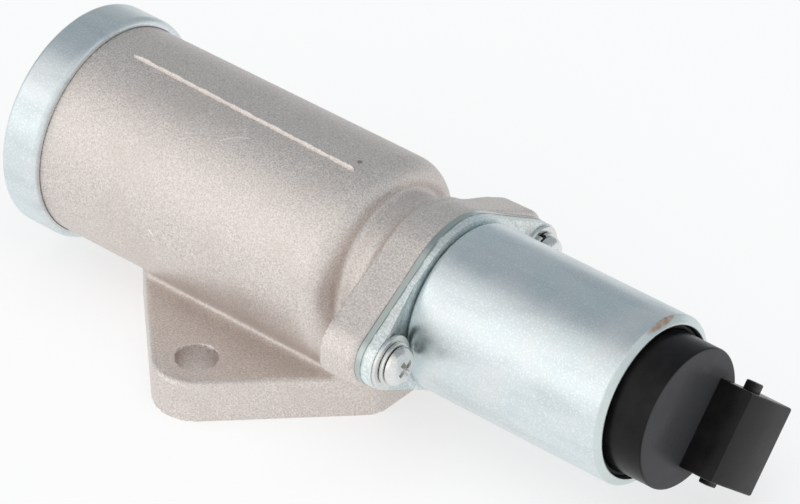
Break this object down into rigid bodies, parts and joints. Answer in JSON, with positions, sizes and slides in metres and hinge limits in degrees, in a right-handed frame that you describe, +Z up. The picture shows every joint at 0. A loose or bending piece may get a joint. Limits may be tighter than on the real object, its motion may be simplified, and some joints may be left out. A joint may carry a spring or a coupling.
{
  "type": "idle air control valve",
  "caption": "Idle air control valve: cast drum with a rolled steel cap on a square mounting plate, and a screwed-on solenoid with a moulded connector.",
  "frame": {"origin": "centre of the mounting face, midway between the two mounting holes", "axes": "+Z up out of the mounting face through the part, +X along the valve's axis from the cap to the connector, the two mounting holes on Y"},
  "size_m": [0.1752, 0.0814, 0.0548],
  "materials": {
    "cast_aluminium": "matt as-cast skin with a fine grain, sharp edges worn brighter",
    "zinc_steel": "bluish bright zinc plating, satin",
    "screw_zinc": "bright zinc plating",
    "plain_steel": "plain machined steel",
    "seat_brass": "machined brass",
    "bronze": "sintered bronze",
    "copper_wire": "enamelled copper wire, wound in layers",
    "tin_brass": "tinned brass",
    "black_rubber": "moulded rubber",
    "grey_foam": "open-cell foam",
    "bobbin_plastic": "moulded plastic",
    "black_plastic": "glass-filled black plastic, glossy on its turned side"
  },
  "bodies": {
    "housing": {"valve_body": "cast_aluminium", "end_cap": "zinc_steel", "cap_gasket": "black_rubber", "silencer_foam": "grey_foam", "guide_plate": "plain_steel", "stem_bush": "bronze", "valve_seat": "seat_brass", "return_spring": "plain_steel", "guide_sleeve": "seat_brass", "front_pole": "plain_steel", "pole_core": "plain_steel", "rear_flux_washer": "plain_steel", "coil_bobbin": "bobbin_plastic", "coil_winding": "copper_wire", "solenoid_can": "zinc_steel", "mounting_bracket": "zinc_steel", "bracket_seal": "black_rubber", "bracket_screws": "screw_zinc", "lock_washers": "screw_zinc", "flat_washers": "screw_zinc", "connector_housing": "black_plastic", "connector_seal": "black_rubber", "terminal_blades": "tin_brass"},
    "armature": {"valve_disc": "plain_steel", "valve_stem": "plain_steel", "disc_clip": "plain_steel", "plunger": "plain_steel"}
  },
  "joints": [
    {"name": "armature_slide", "type": "slide", "parent": "housing", "child": "armature", "axis": [1, 0, 0], "range_m": [0, 0.003], "stiffness_N_per_m": 500, "springref_m": -0.004, "deforming": ["return_spring"]}
  ]
}
